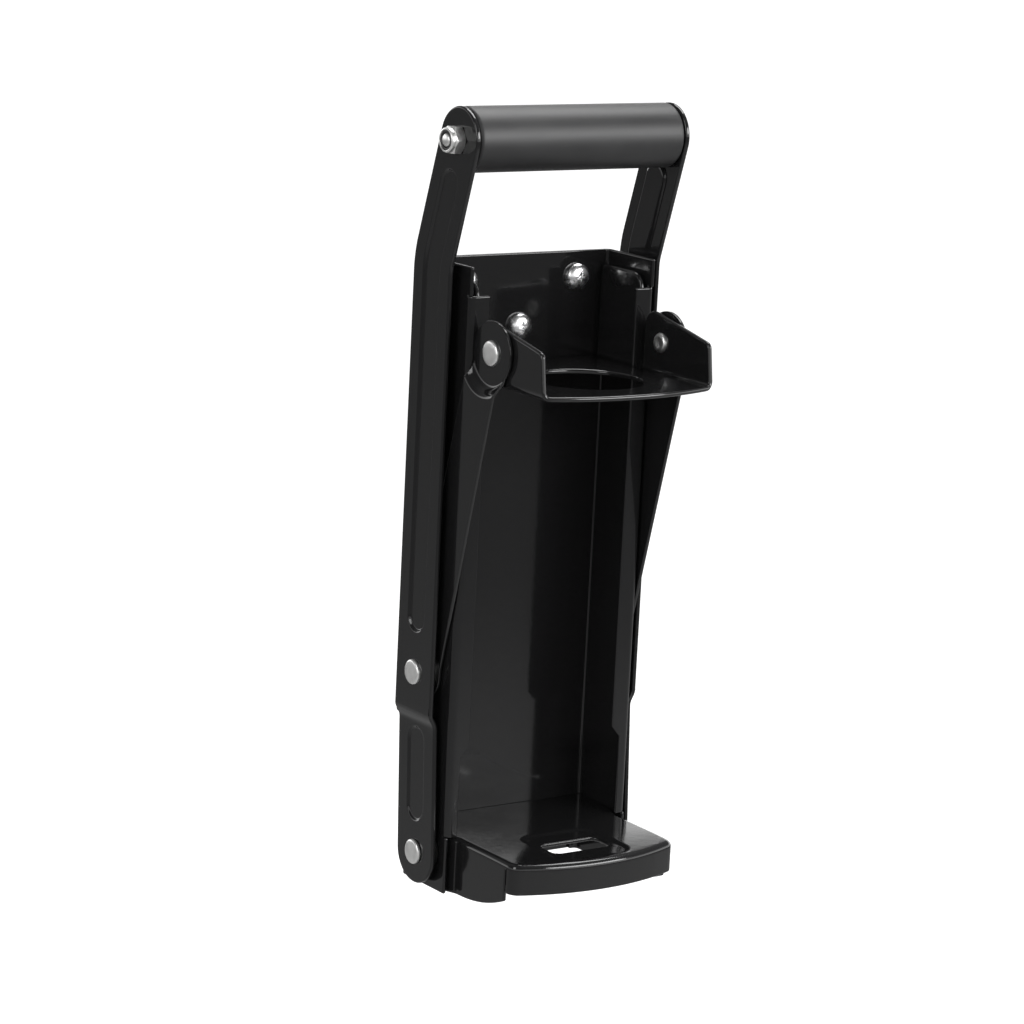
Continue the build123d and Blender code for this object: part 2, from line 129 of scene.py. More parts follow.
# ------------------------------------------------------------------ working by hand
def only(piece):
    """Leaves edit mode and selects this piece alone."""
    if bpy.context.object and bpy.context.object.mode != "OBJECT":
        bpy.ops.object.mode_set(mode="OBJECT")
    bpy.ops.object.select_all(action="DESELECT")
    piece.select_set(True)
    bpy.context.view_layer.objects.active = piece


def open_up(piece, kind="VERT"):
    """Edit mode on a piece, with nothing picked."""
    only(piece)
    bpy.ops.object.mode_set(mode="EDIT")
    bpy.ops.mesh.select_mode(type=kind)
    bpy.ops.mesh.select_all(action="DESELECT")


def close_up():
    bpy.ops.object.mode_set(mode="OBJECT")


def middle_of(element):
    """The middle of a vertex, an edge or a face, in millimetres."""
    if isinstance(element, bmesh.types.BMVert):
        return element.co / MM
    if isinstance(element, bmesh.types.BMEdge):
        return (element.verts[0].co + element.verts[1].co) / (2 * MM)
    return element.calc_center_median() / MM


def pick(kind, test, add=False):
    """Picks, in edit mode, what passes a test on its middle in millimetres."""
    bpy.ops.mesh.select_mode(type=kind)
    if not add:
        bpy.ops.mesh.select_all(action="DESELECT")
    mesh = bmesh.from_edit_mesh(bpy.context.object.data)
    for element in {"VERT": mesh.verts, "EDGE": mesh.edges, "FACE": mesh.faces}[kind]:
        if test(middle_of(element), element):
            element.select_set(True)
    bmesh.update_edit_mesh(bpy.context.object.data)


def move_points(rule):
    """Moves each vertex of the piece in edit mode to rule(x, y, z), in millimetres."""
    mesh = bmesh.from_edit_mesh(bpy.context.object.data)
    for vertex in mesh.verts:
        vertex.co = Vector(rule(*(vertex.co / MM))) * MM
    bmesh.update_edit_mesh(bpy.context.object.data)


def add_point(place):
    """Adds a single picked point to the piece in edit mode, ready to be drawn out."""
    bpy.ops.mesh.select_mode(type="VERT")
    bpy.ops.mesh.select_all(action="DESELECT")
    bpy.ops.mesh.primitive_plane_add(size=MM, location=(0, 0, 0))
    bpy.ops.mesh.merge(type="CENTER")
    bpy.ops.transform.translate(value=Vector(place) * MM)


def start_point(name, place):
    """A new piece that is a single point, in edit mode."""
    bpy.ops.object.select_all(action="DESELECT")
    bpy.ops.mesh.primitive_plane_add(size=MM, location=(0, 0, 0))
    piece = bpy.context.object
    piece.name = piece.data.name = name
    bpy.ops.object.mode_set(mode="EDIT")
    bpy.ops.mesh.delete(type="VERT")
    add_point(place)
    return piece


def run(x=0.0, y=0.0, z=0.0, times=1):
    """Draws the picked points or edges on by a straight run, in equal steps."""
    for _ in range(times):
        bpy.ops.mesh.extrude_region_move(
            TRANSFORM_OT_translate={"value": Vector((x, y, z)) * MM / times}
        )


def bend(center, axis, degrees, steps=8):
    """Draws the picked points on round a fold, right-handed about its axis."""
    bpy.ops.mesh.spin(
        steps=steps, angle=-math.radians(degrees), center=Vector(center) * MM, axis=axis,
        use_auto_merge=False, dupli=False,
    )


def apply_all(piece):
    """Applies the piece's modifiers in order."""
    only(piece)
    for modifier in list(piece.modifiers):
        bpy.ops.object.modifier_apply(modifier=modifier.name)


def sheet(piece, thickness):
    """Gives a folded skin its sheet, on the side away from its faces."""
    only(piece)
    solid = piece.modifiers.new("sheet", "SOLIDIFY")
    solid.thickness = thickness * MM
    solid.offset = -1.0
    solid.use_even_offset = True
    solid.use_quality_normals = True
    apply_all(piece)


def soften(piece, width, segments=3, angle=42, clamp=False):
    """Rounds the sharp edges, as paint does, and shades the piece."""
    only(piece)
    bevel = piece.modifiers.new("edges", "BEVEL")
    bevel.width = width * MM
    bevel.segments = segments
    bevel.limit_method = "ANGLE"
    bevel.angle_limit = math.radians(angle)
    bevel.use_clamp_overlap = clamp
    apply_all(piece)
    smooth(piece)


def smooth(piece, angle=50):
    """Shades curves smooth and keeps flat faces flat in the light."""
    only(piece)
    bpy.ops.object.shade_smooth_by_angle(angle=math.radians(angle))
    weights = piece.modifiers.new("flats", "WEIGHTED_NORMAL")
    weights.keep_sharp = True
    weights.weight = 60
    apply_all(piece)


def cut(piece, cutter):
    """Cuts a tool shape out of a piece and takes the tool away."""
    only(piece)
    tool = piece.modifiers.new("cut", "BOOLEAN")
    tool.object = cutter
    tool.operation = "DIFFERENCE"
    tool.solver = "EXACT"
    apply_all(piece)
    bpy.data.objects.remove(cutter, do_unlink=True)


def keep_inside(piece, other):
    """Leaves only what lies inside another shape, as a lathe does to bar stock."""
    only(piece)
    tool = piece.modifiers.new("lathe", "BOOLEAN")
    tool.object = other
    tool.operation = "INTERSECT"
    tool.solver = "EXACT"
    apply_all(piece)
    bpy.data.objects.remove(other, do_unlink=True)


def rod(radius, depth, place, axis, sides=64):
    """A round cutter along an axis."""
    turn = {"X": (0, math.pi / 2, 0), "Y": (math.pi / 2, 0, 0), "Z": (0, 0, 0)}[axis]
    bpy.ops.object.select_all(action="DESELECT")
    bpy.ops.mesh.primitive_cylinder_add(
        vertices=sides, radius=radius * MM, depth=depth * MM,
        location=Vector(place) * MM, rotation=turn,
    )
    return bpy.context.object


def settle(piece):
    """Puts a piece's place into its mesh, with its object at the origin."""
    only(piece)
    bpy.ops.object.transform_apply(location=True, rotation=True, scale=True)


def outward(piece):
    """Merges doubles and turns every face outwards."""
    open_up(piece)
    bpy.ops.mesh.select_all(action="SELECT")
    bpy.ops.mesh.remove_doubles(threshold=0.00001)
    bpy.ops.mesh.normals_make_consistent(inside=False)
    close_up()


def merge_flats(piece):
    """Takes away the edges that lie inside flat faces."""
    open_up(piece, "FACE")
    bpy.ops.mesh.select_all(action="SELECT")
    bpy.ops.mesh.dissolve_limited(angle_limit=math.radians(0.2))
    close_up()


def face_to(piece, way):
    """Merges doubles on an open skin and faces it as a whole in a direction."""
    outward(piece)
    total = sum((f.normal * f.area for f in piece.data.polygons), Vector())
    if total.dot(Vector(way)) < 0:
        open_up(piece)
        bpy.ops.mesh.select_all(action="SELECT")
        bpy.ops.mesh.flip_normals()
        close_up()


def twin(piece, name):
    """The left-hand copy of a right-hand piece, with a mesh of its own."""
    only(piece)
    bpy.ops.object.duplicate(linked=False)
    copy = bpy.context.object
    copy.name = copy.data.name = name
    open_up(copy)
    bpy.ops.mesh.select_all(action="SELECT")
    bpy.ops.transform.mirror(constraint_axis=(True, False, False), center_override=(0, 0, 0))
    bpy.ops.mesh.flip_normals()
    close_up()
    smooth(copy)
    return copy


def turned(name, pin, profile, sides=48):
    """A piece turned on a line along X through a pin's place (Y, Z)."""
    piece = start_point(name, (profile[0][0], pin[0], pin[1] + profile[0][1]))
    for (x, r), (next_x, next_r) in zip(profile, profile[1:]):
        run(x=next_x - x, z=next_r - r)
    bpy.ops.mesh.select_all(action="SELECT")
    bend((0, *pin), (1, 0, 0), 360, steps=sides)
    close_up()
    outward(piece)
    return piece


def press_in(way, step, depth):
    """Presses the picked face in, as a punch does, by five steps with a soft start and end."""
    for share in (0.07, 0.23, 0.4, 0.23, 0.07):
        bpy.ops.mesh.inset(thickness=step * MM, depth=0, use_even_offset=True)
        bpy.ops.transform.translate(value=Vector(way) * depth * share * MM)


def round_corners(test, reach, segments=6):
    """Rounds the picked outline corners; reach runs along the edges from each corner."""
    pick("VERT", test)
    bpy.ops.mesh.bevel(
        offset=reach * MM, segments=segments, affect="VERTICES", offset_type="OFFSET",
        clamp_overlap=True,
    )


def is_edge_of_sheet(edge):
    """An edge with a face on one side at most."""
    return len(edge.link_faces) < 2


# ------------------------------------------------------------------ finishes
def add_node(nodes, kind, operation=None, **values):
    """Adds a shader node and sets its inputs by name; an underscore stands for a space."""
    node = nodes.new("ShaderNode" + kind)
    if operation:
        node.operation = operation
    for label, value in values.items():
        node.inputs[label.replace("_", " ")].default_value = value
    return node


def wire(links, *runs):
    """Links outputs to inputs; a run is (node, output, node, input)."""
    for source, output, target, socket in runs:
        links.new(source.outputs[output], target.inputs[socket])


def new_group(name, inputs, outputs):
    """A node group with sockets by name, kind and value, and its two end nodes."""
    group = bpy.data.node_groups.new(name, "ShaderNodeTree")
    for label, kind, value in inputs:
        socket = group.interface.new_socket(
            name=label, in_out="INPUT", socket_type="NodeSocket" + kind
        )
        if value is not None:
            socket.default_value = value
    for label, kind in outputs:
        group.interface.new_socket(
            name=label, in_out="OUTPUT", socket_type="NodeSocket" + kind
        )
    return group, group.nodes.new("NodeGroupInput"), group.nodes.new("NodeGroupOutput")


def paint_skin_group():
    """Stoved enamel: a faint orange peel and slow changes of gloss."""
    group, given, result = new_group(
        "enamel_skin",
        [("Peel size", "Float", 260.0), ("Peel", "Float", 0.04),
         ("Gloss low", "Float", 0.06), ("Gloss high", "Float", 0.12)],
        [("Normal", "Vector"), ("Roughness", "Float")],
    )
    nodes = group.nodes
    place = add_node(nodes, "TexCoord")
    peel = add_node(nodes, "TexNoise", Detail=2.0)
    bump = add_node(nodes, "Bump", Distance=0.0004)
    slow = add_node(nodes, "TexNoise", Scale=22.0, Detail=5.0)
    spread = add_node(nodes, "MapRange", From_Min=0.35, From_Max=0.65)
    wire(
        group.links,
        (place, "Object", peel, "Vector"), (place, "Object", slow, "Vector"),
        (given, "Peel size", peel, "Scale"), (given, "Peel", bump, "Strength"),
        (peel, "Fac", bump, "Height"), (slow, "Fac", spread, "Value"),
        (given, "Gloss low", spread, "To Min"), (given, "Gloss high", spread, "To Max"),
        (bump, "Normal", result, "Normal"), (spread, "Result", result, "Roughness"),
    )
    return group


def tooling_group():
    """Turned or tumbled metal: fine rings round X or fine grain, and a mottled plate."""
    group, given, result = new_group(
        "metal_tooling",
        [("Stretch", "Vector", None), ("Grain size", "Float", 900.0), ("Grain", "Float", 0.15),
         ("Bright", "Color", (0.8, 0.8, 0.8, 1)), ("Dull", "Color", (0.6, 0.6, 0.6, 1)),
         ("Gloss low", "Float", 0.2), ("Gloss high", "Float", 0.35)],
        [("Normal", "Vector"), ("Roughness", "Float"), ("Color", "Color")],
    )
    nodes = group.nodes
    place = add_node(nodes, "TexCoord")
    stretch = add_node(nodes, "VectorMath", "MULTIPLY")
    grain = add_node(nodes, "TexNoise", Detail=3.0)
    bump = add_node(nodes, "Bump", Distance=0.0002)
    mottle = add_node(nodes, "TexNoise", Scale=310.0, Detail=4.0)
    spread = add_node(nodes, "MapRange", From_Min=0.3, From_Max=0.7)
    tint = add_node(nodes, "Mix")
    tint.data_type = "RGBA"
    factor, first_color, second_color, color_out = 0, 6, 7, 2
    wire(
        group.links,
        (place, "Object", stretch, 0), (given, "Stretch", stretch, 1),
        (stretch, "Vector", grain, "Vector"), (place, "Object", mottle, "Vector"),
        (given, "Grain size", grain, "Scale"), (given, "Grain", bump, "Strength"),
        (grain, "Fac", bump, "Height"), (mottle, "Fac", spread, "Value"),
        (given, "Gloss low", spread, "To Min"), (given, "Gloss high", spread, "To Max"),
        (mottle, "Fac", tint, factor), (given, "Dull", tint, first_color),
        (given, "Bright", tint, second_color), (bump, "Normal", result, "Normal"),
        (spread, "Result", result, "Roughness"), (tint, color_out, result, "Color"),
    )
    return group


def new_material(name):
    """A material with its node tree and its shader."""
    material = bpy.data.materials.new(name)
    material.use_nodes = True
    tree = material.node_tree
    return material, tree.nodes, tree.links, tree.nodes["Principled BSDF"]


def place_group(nodes, group, **values):
    """Places a node group with values of its own."""
    node = add_node(nodes, "Group")
    node.node_tree = group
    for label, value in values.items():
        node.inputs[label.replace("_", " ")].default_value = value
    return node


PAINT_SKIN = paint_skin_group()
TOOLING = tooling_group()


def enamel():
    """Glossy black stoved enamel on pressed steel."""
    material, nodes, links, shader = new_material("black_enamel")
    shader.inputs["Base Color"].default_value = (0.008, 0.008, 0.0083, 1)
    shader.inputs["IOR"].default_value = 1.5
    skin = place_group(nodes, PAINT_SKIN)
    wire(links, (skin, "Normal", shader, "Normal"), (skin, "Roughness", shader, "Roughness"))
    return material


def metal(name, bright, dull, gloss, stretch, grain_size, grain):
    """Bare or plated metal, with its own tooling."""
    material, nodes, links, shader = new_material(name)
    shader.inputs["Metallic"].default_value = 1.0
    tooling = place_group(
        nodes, TOOLING, Stretch=stretch, Grain_size=grain_size, Grain=grain,
        Bright=(*bright, 1), Dull=(*dull, 1), Gloss_low=gloss[0], Gloss_high=gloss[1],
    )
    wire(
        links, (tooling, "Color", shader, "Base Color"),
        (tooling, "Roughness", shader, "Roughness"), (tooling, "Normal", shader, "Normal"),
    )
    return material


def grip_black():
    """Satin black moulded sleeve with a fine grain."""
    material, nodes, links, shader = new_material("satin_sleeve")
    place = add_node(nodes, "TexCoord")
    grain = add_node(nodes, "TexNoise", Scale=2600.0, Detail=2.0)
    bump = add_node(nodes, "Bump", Strength=0.12, Distance=0.0002)
    slow = add_node(nodes, "TexNoise", Scale=45.0, Detail=4.0)
    gloss = add_node(nodes, "MapRange", To_Min=0.44, To_Max=0.52)
    tone = add_node(nodes, "ValToRGB")
    dark, pale = tone.color_ramp.elements
    dark.position, dark.color = 0.35, (0.012, 0.012, 0.0125, 1)
    pale.position, pale.color = 0.65, (0.017, 0.017, 0.0175, 1)
    wire(
        links,
        (place, "Object", grain, "Vector"), (place, "Object", slow, "Vector"),
        (grain, "Fac", bump, "Height"), (slow, "Fac", tone, "Fac"), (slow, "Fac", gloss, "Value"),
        (tone, "Color", shader, "Base Color"), (gloss, "Result", shader, "Roughness"),
        (bump, "Normal", shader, "Normal"),
    )
    return material


ENAMEL = enamel()
ZINC = metal(
    "bright_zinc", (0.88, 0.88, 0.87), (0.74, 0.74, 0.73), (0.30, 0.42), (1, 1, 1), 700.0, 0.25
)
CHROME = metal(
    "bright_screw", (0.95, 0.95, 0.95), (0.86, 0.86, 0.87), (0.20, 0.32), (1, 1, 1), 420.0, 0.12
)
TURNED = metal(
    "turned_tube", (0.74, 0.74, 0.73), (0.58, 0.58, 0.58), (0.2, 0.34), (30, 1, 1), 300.0, 0.3
)
GRIP = grip_black()


def finish(piece, material, body, slot, *nodes):
    """Dresses a finished piece and lets it ride and stand for its CAD nodes."""
    settle(piece)
    piece.data.materials.clear()
    piece.data.materials.append(material)
    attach(piece, body)
    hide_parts(*nodes)


# ------------------------------------------------------------------ channel
def make_channel():
    """The section is drawn round its four folds and drawn up; then the lips are trimmed."""
    half, depth, fold = CHANNEL_HALF, CHANNEL_DEPTH, CHANNEL_FOLD
    piece = start_point("channel", (-LIP_EDGE, -depth, 0))
    run(x=-(half - fold - LIP_EDGE))
    bend((-(half - fold), -(depth - fold), 0), (0, 0, 1), -90)
    run(y=depth - 2 * fold)
    bend((-(half - fold), -fold, 0), (0, 0, 1), -90)
    run(x=2 * (half - fold), times=4)
    bend((half - fold, -fold, 0), (0, 0, 1), -90)
    run(y=-(depth - 2 * fold))
    bend((half - fold, -(depth - fold), 0), (0, 0, 1), -90)
    run(x=-(half - fold - LIP_EDGE))

    levels = [0.0, TRAY_TOP, LIP_STEP[0], LIP_STEP[1], LIP_TOP, CHANNEL_TOP]
    bpy.ops.mesh.select_all(action="SELECT")
    for low, high in zip(levels, levels[1:]):
        run(z=high - low)

    front = -(depth - fold)
    pick("FACE", lambda c, f: c.y < front - 0.05 and not TRAY_TOP < c.z < LIP_TOP)
    bpy.ops.mesh.delete(type="FACE")
    pick("EDGE", lambda c, e: (
        abs(c.x) > half - 0.05 and abs(c.y - front) < 0.05 and len(e.link_faces) == 1
    ))
    run(y=-(BARE_EDGE + front))

    def lip_step(x, y, z):
        """The lips are narrower below the step."""
        if y < -depth + 0.05 and abs(x) < half - fold - 1 and z < LIP_STEP[0] + 0.1:
            return math.copysign(LIP_EDGE_LOW, x), y, z
        return x, y, z

    move_points(lip_step)
    face_to(piece, (0, 1, 0))
    sheet(piece, CHANNEL_SHEET)
    for x, z in SCREW_PLACES:
        cut(piece, rod(SCREW_BORE, 8, (x, 0, z), "Y", 40))
    for side in (-1, 1):
        cut(piece, rod(FOOT_BORE, 8, (side * half, *FOOT_PIN), "X", 40))
    soften(piece, CHANNEL_EDGE, 4)
    finish(piece, ENAMEL, "frame", "enamel", "channel_body")


make_channel()


# ------------------------------------------------------------------ tray
def add_rounded_loop(x, y, z, width, length, corner):
    """Adds a rounded rectangle of edges to the piece in edit mode."""
    bpy.ops.mesh.select_all(action="DESELECT")
    bpy.ops.mesh.primitive_plane_add(size=MM, location=Vector((x, y, z)) * MM)
    bpy.ops.transform.resize(
        value=(width, length, 1), center_override=Vector((x, y, z)) * MM
    )
    bpy.ops.mesh.select_mode(type="VERT")
    bpy.ops.mesh.bevel(
        offset=corner * MM, segments=8, affect="VERTICES", offset_type="OFFSET", clamp_overlap=True
    )
    bpy.ops.mesh.select_mode(type="FACE")
    bpy.ops.mesh.delete(type="ONLY_FACE")


def make_tray():
    """The rim is drawn and filled, the skirts drawn down, and dish and drain pressed in."""
    side, front, half_rear, rear = 38.8, -71.5, 42.0, -1.5
    back_edge, rear_corner = 37.5, 3.0
    joggle_rear, joggle_front, joggle_corner = -25.0, -33.5, 0.9
    bow_center, bow_turn, front_corner = 17.38, 47.17, 3.27
    slit_rear, slit_front, slit_top = -66.5, -67.4, 19.9
    piece = start_point("tray", (back_edge, rear, TRAY_TOP))
    run(x=half_rear - back_edge)
    run(y=joggle_rear - rear)
    run(x=side - half_rear, y=joggle_front - joggle_rear)
    run(y=slit_rear - joggle_front, times=9)
    run(y=slit_front - slit_rear)
    run(y=front - slit_front)
    bend((0, bow_center, TRAY_TOP), (0, 0, 1), -bow_turn, steps=19)
    run(y=slit_front - front)
    run(y=slit_rear - slit_front)
    run(y=joggle_front - slit_rear, times=9)
    run(x=side - half_rear, y=joggle_rear - joggle_front)
    run(y=rear - joggle_rear)
    run(x=half_rear - back_edge)
    run(x=2 * back_edge)
    bpy.ops.mesh.select_all(action="SELECT")
    bpy.ops.mesh.remove_doubles(threshold=0.00001)
    for half, y, reach, segments in (
        (side, front, front_corner, 6), (side, joggle_front, joggle_corner, 4),
        (half_rear, joggle_rear, joggle_corner, 4), (half_rear, rear, rear_corner, 6),
    ):
        round_corners(
            lambda c, v: abs(c.x) > half - 0.1 and abs(c.y - y) < 0.05, reach, segments
        )
    bpy.ops.mesh.select_all(action="SELECT")
    bpy.ops.mesh.edge_face_add()
    bpy.ops.mesh.normals_make_consistent(inside=False)

    pick("EDGE", lambda c, e: is_edge_of_sheet(e))
    run(z=slit_top - TRAY_TOP)
    run(z=-slit_top)
    pick("FACE", lambda c, f: (
        c.y > rear - 0.05 and abs(c.x) < back_edge - 0.1 and c.z < TRAY_TOP - 0.5
    ))
    pick("FACE", lambda c, f: (
        slit_front < c.y < slit_rear and abs(c.x) > side - 0.1 and c.z < slit_top
    ), add=True)
    bpy.ops.mesh.delete(type="FACE")

    front_foot, side_foot, curve_start, curve_length = 10.2, 7.2, -34.0, 33.4

    def foot(x, y, z):
        """The skirts' lower edge: level in front, and rising in a long curve at the sides."""
        if z > 1.0:
            return x, y, z
        if y < slit_front + 0.2:
            return x, y, front_foot
        return x, y, side_foot * max(0.0, (curve_start - y) / curve_length) ** 2.2

    move_points(foot)
    pick("EDGE", lambda c, e: (
        abs(c.z - TRAY_TOP) < 0.05 and c.y < rear - rear_corner - 0.1 and len(e.link_faces) == 2
    ))
    bpy.ops.mesh.bevel(
        offset=TRAY_BEND * MM, segments=7, affect="EDGES", offset_type="OFFSET",
        clamp_overlap=False,
    )
    pick("FACE", lambda c, f: abs(c.z - TRAY_TOP) < 0.01)
    bpy.ops.mesh.delete(type="ONLY_FACE")
    dish_y, dish_width, dish_length, dish_corner, dish_depth = -58.5, 37, 35, 8, 0.8
    dish_floor = TRAY_TOP - dish_depth
    add_rounded_loop(0, dish_y, TRAY_TOP, dish_width, dish_length, dish_corner)
    pick("EDGE", lambda c, e: abs(c.z - TRAY_TOP) < 0.01 and is_edge_of_sheet(e))
    bpy.ops.mesh.fill(use_beauty=True)
    pick("EDGE", lambda c, e: (
        abs(c.z - TRAY_TOP) < 0.01 and is_edge_of_sheet(e)
        and abs(c.x) < dish_width / 2 + 0.5 and abs(c.y - dish_y) < dish_length / 2 + 0.5
    ))
    bpy.ops.mesh.edge_face_add()
    press_in((0, 0, -1), 0.6, dish_depth)
    bpy.ops.mesh.delete(type="ONLY_FACE")
    drain_y, drain_width, drain_length, drain_corner = -58.4, 27.5, 12.0, 3.4
    add_rounded_loop(0, drain_y, dish_floor, drain_width, drain_length, drain_corner)
    pick("EDGE", lambda c, e: abs(c.z - dish_floor) < 0.01 and is_edge_of_sheet(e))
    bpy.ops.mesh.fill(use_beauty=True)
    for level in range(TRAY_CROWN_START - 4, -77, -4):
        bpy.ops.mesh.select_all(action="SELECT")
        bpy.ops.mesh.bisect(plane_co=(0, level * MM, 0), plane_no=(0, 1, 0))

    def crown(x, y, z):
        """The top falls away in a shallow curve towards its front."""
        ahead = TRAY_CROWN_START - y
        return x, y, z - (TRAY_CROWN * ahead**2 if ahead > 0 and z > 15 else 0)

    move_points(crown)
    face_to(piece, (0, 0, 1))
    sheet(piece, TRAY_SHEET)
    for hand in (-1, 1):
        cut(piece, rod(FOOT_BORE, 8, (hand * 41.5, *FOOT_PIN), "X", 40))
    soften(piece, TRAY_EDGE, 4)
    finish(piece, ENAMEL, "frame", "enamel", "base_tray")


make_tray()


# ------------------------------------------------------------------ plunger
def arc(center_y, center_z, radius, start, end, steps):
    """Points (Y, Z) round a corner, angles from +Y towards +Z."""
    turns = [math.radians(start + (end - start) * i / steps) for i in range(steps + 1)]
    return [(center_y + radius * math.cos(t), center_z + radius * math.sin(t)) for t in turns]


def make_plunger():
    """The plate's section is drawn from side to side and drawn forward, then trimmed in
    the side view to the guides, the ears and their noses."""
    top = PLATE_UNDER + 38.8
    fold_z = PLATE_UNDER + PLATE_BEND
    fold_x = PLATE_HALF - PLATE_BEND
    ear_slope = 101.3
    guides = arc(-5.5, top - 3, 3, 0, 90, 4) + arc(-23.2, top - 7, 7, 90, 180, 7)
    ears = arc(-39.7, 224.27, 6, 0, ear_slope, 7)
    noses = arc(-72.86, 220.67, 3, ear_slope, 171, 5)
    stations = [(y, (y, z)) for y, z in guides + ears]
    nose_start, nose_end = noses[0][0], PLATE_BOW - PLATE_FRONT
    for index, place in enumerate(noses):
        share = index / (len(noses) - 1)
        stations.append((nose_start + (nose_end - nose_start) * share, place))

    piece = start_point("plunger_plate", (-PLATE_HALF, stations[0][0], top))
    run(z=fold_z - top)
    bend((-fold_x, 0, fold_z), (0, 1, 0), -90)
    run(x=fold_x - PLATE_NECK)
    run(x=2 * PLATE_NECK, times=18)
    run(x=fold_x - PLATE_NECK)
    bend((fold_x, 0, fold_z), (0, 1, 0), -90)
    run(z=top - fold_z)
    bpy.ops.mesh.select_all(action="SELECT")
    for near, far in zip(stations, stations[1:]):
        run(y=far[0] - near[0])

    bow_radius = (PLATE_HALF**2 + PLATE_BOW**2) / (2 * PLATE_BOW)
    neck_rear, neck_front = guides[-1][0], ears[0][0]

    def outline(x, y, z):
        """Brings the upper edge down to its stations, and bows the plate's front edge."""
        if z > top - 0.01:
            nearest = min(stations, key=lambda s: abs(s[0] - y))
            return x, nearest[1][0], nearest[1][1]
        if y < nose_end + 0.01:
            return x, bow_radius - PLATE_FRONT - math.sqrt(bow_radius**2 - x * x), z
        return x, y, z

    move_points(outline)
    pick("FACE", lambda c, f: neck_front < c.y < neck_rear and abs(c.x) > PLATE_NECK)
    bpy.ops.mesh.delete(type="FACE")
    face_to(piece, (0, 0, -1))
    merge_flats(piece)
    sheet(piece, PLATE_SHEET)
    hole_y, hole_radius = PLATE_HOLE
    cut(piece, rod(hole_radius, 12, (0, hole_y, PLATE_UNDER), "Z", 96))
    for hand in (-1, 1):
        cut(piece, rod(PIN_BORE, 6, (hand * 39, *EAR_PIN), "X", 40))
    soften(piece, PLATE_EDGE, 5)
    finish(piece, ENAMEL, "plunger", "enamel", "plunger")


make_plunger()


# ------------------------------------------------------------------ lever arms
def strip_sides(line, half):
    """Corners (Y, Z) of the rear and the front side of a strip round a bent line."""
    rear, front = [], []
    for index, corner in enumerate(line):
        near = max(index - 1, 0)
        ways = [(b - a).normalized() for a, b in zip(line[near:], line[near + 1:index + 2])]
        across = sum((Vector((way.y, -way.x)) for way in ways), Vector((0, 0))).normalized()
        reach = half / across.dot(Vector((ways[0].y, -ways[0].x)))
        rear.append(corner + across * reach)
        front.append(corner - across * reach)
    return rear, front


def draw_strip(x, line, half):
    """Draws a strip's closed outline with half-round ends, and rounds it at the arm's bend."""
    rear, front = strip_sides(line, half)
    front.reverse()
    add_point((x, *rear[0]))
    for side, end in ((rear, line[-1]), (front, line[0])):
        for near, far in zip(side, side[1:]):
            run(y=far.x - near.x, z=far.y - near.y)
        bend((x, *end), (1, 0, 0), 180, steps=20)
    bpy.ops.mesh.select_linked()
    bpy.ops.mesh.remove_doubles(threshold=0.00001)
    for side, radius in ((rear, ARM_BEND_ROUND + half), (front, ARM_BEND_ROUND - half)):
        for corner in side[1:-1]:
            if corner.y > JOGGLE_Z + 20:
                round_corners(
                    lambda c, v: math.dist((c.y, c.z), corner) < 0.05,
                    radius * math.tan(ARM_TURN / 2), 8,
                )
    pick("VERT", lambda c, v: math.dist((c.y, c.z), rear[0]) < 0.05)
    bpy.ops.mesh.select_linked()


def press_bead(x, line, half, depth):
    """A bead pressed into the arm's outline, which is filled first."""
    draw_strip(x, line, half)
    bpy.ops.mesh.edge_face_add()
    press_in((-1, 0, 0), 0.34, depth)


def along(start, end, distance):
    """The place at a distance from the start towards the end."""
    start, end = Vector(start), Vector(end)
    return start + (end - start).normalized() * distance


def fill_between(x):
    """Fills the flat face between all open outlines at a height."""
    pick("EDGE", lambda c, e: abs(c.x - x) < 0.01 and is_edge_of_sheet(e))
    bpy.ops.mesh.fill(use_beauty=True)


